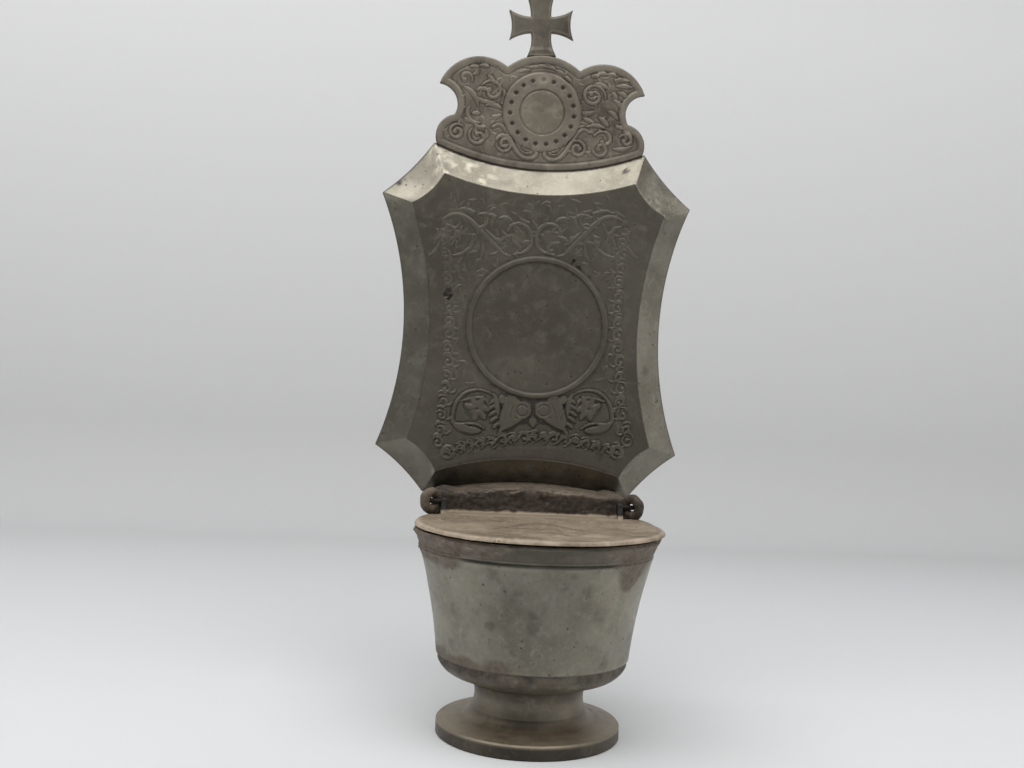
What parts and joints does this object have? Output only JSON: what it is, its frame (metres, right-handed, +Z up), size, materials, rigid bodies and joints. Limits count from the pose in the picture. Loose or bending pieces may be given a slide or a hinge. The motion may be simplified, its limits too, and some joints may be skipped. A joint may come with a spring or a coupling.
{
  "type": "holy water stoup",
  "caption": "Cast pewter holy water stoup: lidded round bowl on a turned foot, bevelled back plate with hollow sides, cut-out crest and small cross.",
  "frame": {"origin": "middle of the footprint of the whole object, on the surface it stands on", "axes": "+Z up, -Y towards the user, +Y towards the wall, +X to the user's right"},
  "size_m": [0.1244, 0.097, 0.2825],
  "materials": {
    "foot_pewter": "dull brown-grey patina",
    "bowl_pewter": "worn grey pewter, blotched",
    "hood_pewter": "dark dusty patina",
    "lid_pewter": "dusty tan-grey patina",
    "plate_pewter": "dark patina, rubbed bright on the bevel",
    "crest_pewter": "dark patina"
  },
  "bodies": {
    "stoup": {"foot": "foot_pewter", "stem": "foot_pewter", "bowl_base": "foot_pewter", "bowl_body": "bowl_pewter", "rear_hood": "hood_pewter", "hinge_eye_left": "hood_pewter", "hinge_eye_right": "hood_pewter", "back_plate": "plate_pewter", "hanging_eye": "plate_pewter", "crest": "crest_pewter", "cross": "crest_pewter"},
    "lid": {"lid": "lid_pewter", "lid_peg_left": "hood_pewter", "lid_peg_right": "hood_pewter"}
  },
  "joints": [
    {"name": "lid_hinge", "type": "hinge", "parent": "stoup", "child": "lid", "pos_m": [0, 0.0179, 0.0801], "axis": [-1, 0, 0], "range_deg": [0, 108]}
  ]
}
